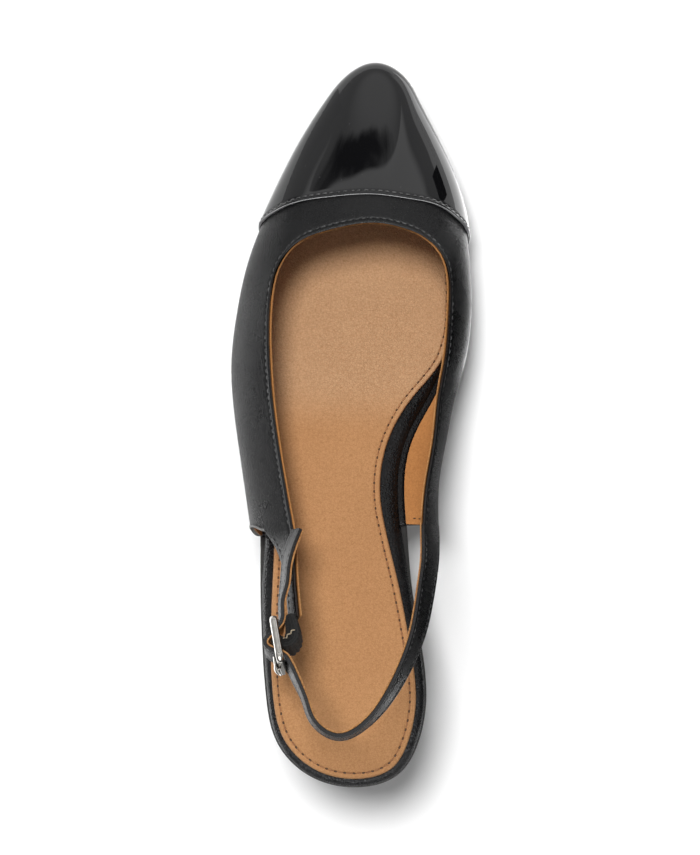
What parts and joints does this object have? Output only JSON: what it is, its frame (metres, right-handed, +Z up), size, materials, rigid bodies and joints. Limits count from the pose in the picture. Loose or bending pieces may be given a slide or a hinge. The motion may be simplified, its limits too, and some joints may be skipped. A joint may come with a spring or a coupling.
{
  "type": "kitten heel cap toe slingback pump",
  "caption": "Left women's slingback pump with a pointed patent toe cap, low kitten heel and a buckled strap round an open back.",
  "frame": {"origin": "centre of the bounding box in X and Y, on the floor that the shoe stands on", "axes": "+Y from heel to toe, +X towards the medial side of the left foot, +Z up"},
  "size_m": [0.0849, 0.2543, 0.0991],
  "materials": {
    "upper_leather": "fine-grained black leather, satin",
    "cap_patent": "black patent, high gloss",
    "footbed_wrap": "grained black wrapping leather",
    "sock_tan": "tan lining leather, matt",
    "outsole_resin": "matt black resin",
    "heel_cover": "leather-covered heel block, satin",
    "lift_rubber": "matt rubber",
    "buckle_nickel": "polished nickel plate",
    "elastic_textile": "woven black elastic"
  },
  "bodies": {
    "root": {"upper": "upper_leather", "toe_cap": "cap_patent", "outsole": "outsole_resin", "footbed": "footbed_wrap", "insole_sock": "sock_tan", "heel": "heel_cover", "heel_top_lift": "lift_rubber", "sling_strap": "upper_leather", "buckle_frame": "buckle_nickel", "buckle_prong": "buckle_nickel", "elastic_tab": "elastic_textile"}
  },
  "joints": []
}
